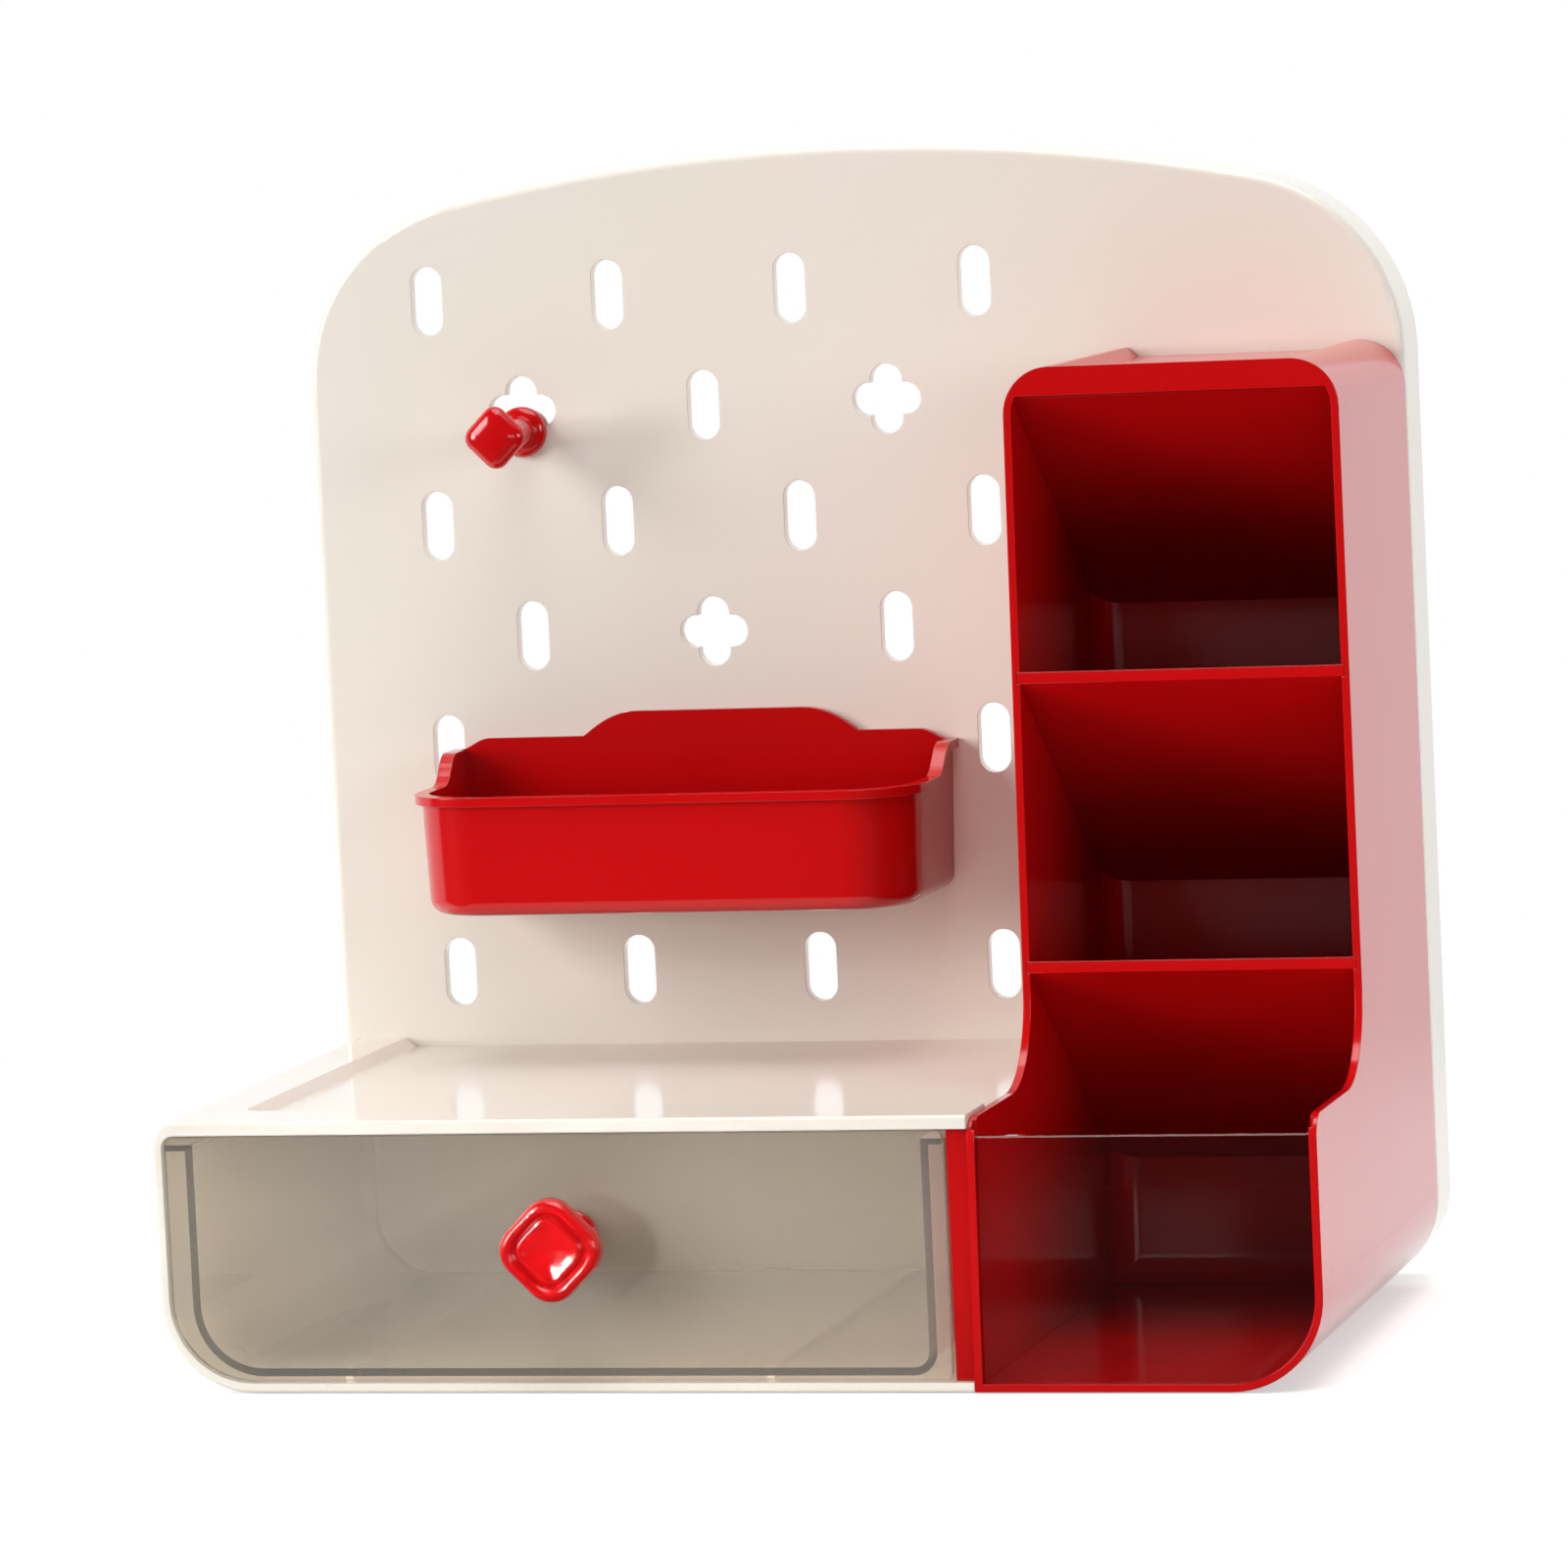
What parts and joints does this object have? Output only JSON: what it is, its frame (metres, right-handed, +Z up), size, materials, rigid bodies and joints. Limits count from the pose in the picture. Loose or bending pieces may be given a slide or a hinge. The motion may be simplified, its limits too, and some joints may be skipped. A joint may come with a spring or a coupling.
{
  "type": "pegboard desk organizer",
  "caption": "Desk organizer with a slotted back board, a clear drawer, slanted pen compartments, a hanging basket and a peg hook.",
  "frame": {"origin": "on the desk, under the centre of the overall box", "axes": "+Z up, the front faces -Y, +X to the right seen from the front"},
  "size_m": [0.297, 0.1966, 0.303],
  "materials": {
    "cream_plastic": "glossy moulded",
    "red_plastic": "glossy moulded",
    "smoke_plastic": "clear, tinted",
    "clear_plastic": "clear",
    "screw_steel": "plated",
    "foot_rubber": "matte"
  },
  "bodies": {
    "root": {"pegboard_panel": "cream_plastic", "drawer_housing": "cream_plastic", "pen_holder_shell": "red_plastic", "holder_top_baffle": "red_plastic", "holder_upper_divider": "red_plastic", "holder_lower_divider": "red_plastic", "holder_front_guard": "clear_plastic", "housing_screws": "screw_steel", "holder_screws": "screw_steel", "foot_front_left": "foot_rubber", "foot_rear_left": "foot_rubber", "foot_front_right": "foot_rubber", "foot_rear_right": "foot_rubber"},
    "drawer": {"drawer_box": "smoke_plastic", "drawer_knob": "red_plastic", "knob_screw": "screw_steel"},
    "basket": {"hanging_basket": "red_plastic"},
    "peg": {"peg_hook": "red_plastic"}
  },
  "joints": [
    {"name": "drawer_slide", "type": "slide", "parent": "root", "child": "drawer", "axis": [0, -1, 0], "range_m": [0, 0.115]},
    {"name": "basket_lift", "type": "slide", "parent": "root", "child": "basket", "axis": [0, 0, 1], "range_m": [0, 0.005]},
    {"name": "peg_lift", "type": "slide", "parent": "root", "child": "peg", "axis": [0, 0, 1], "range_m": [0, 0.00525]}
  ]
}
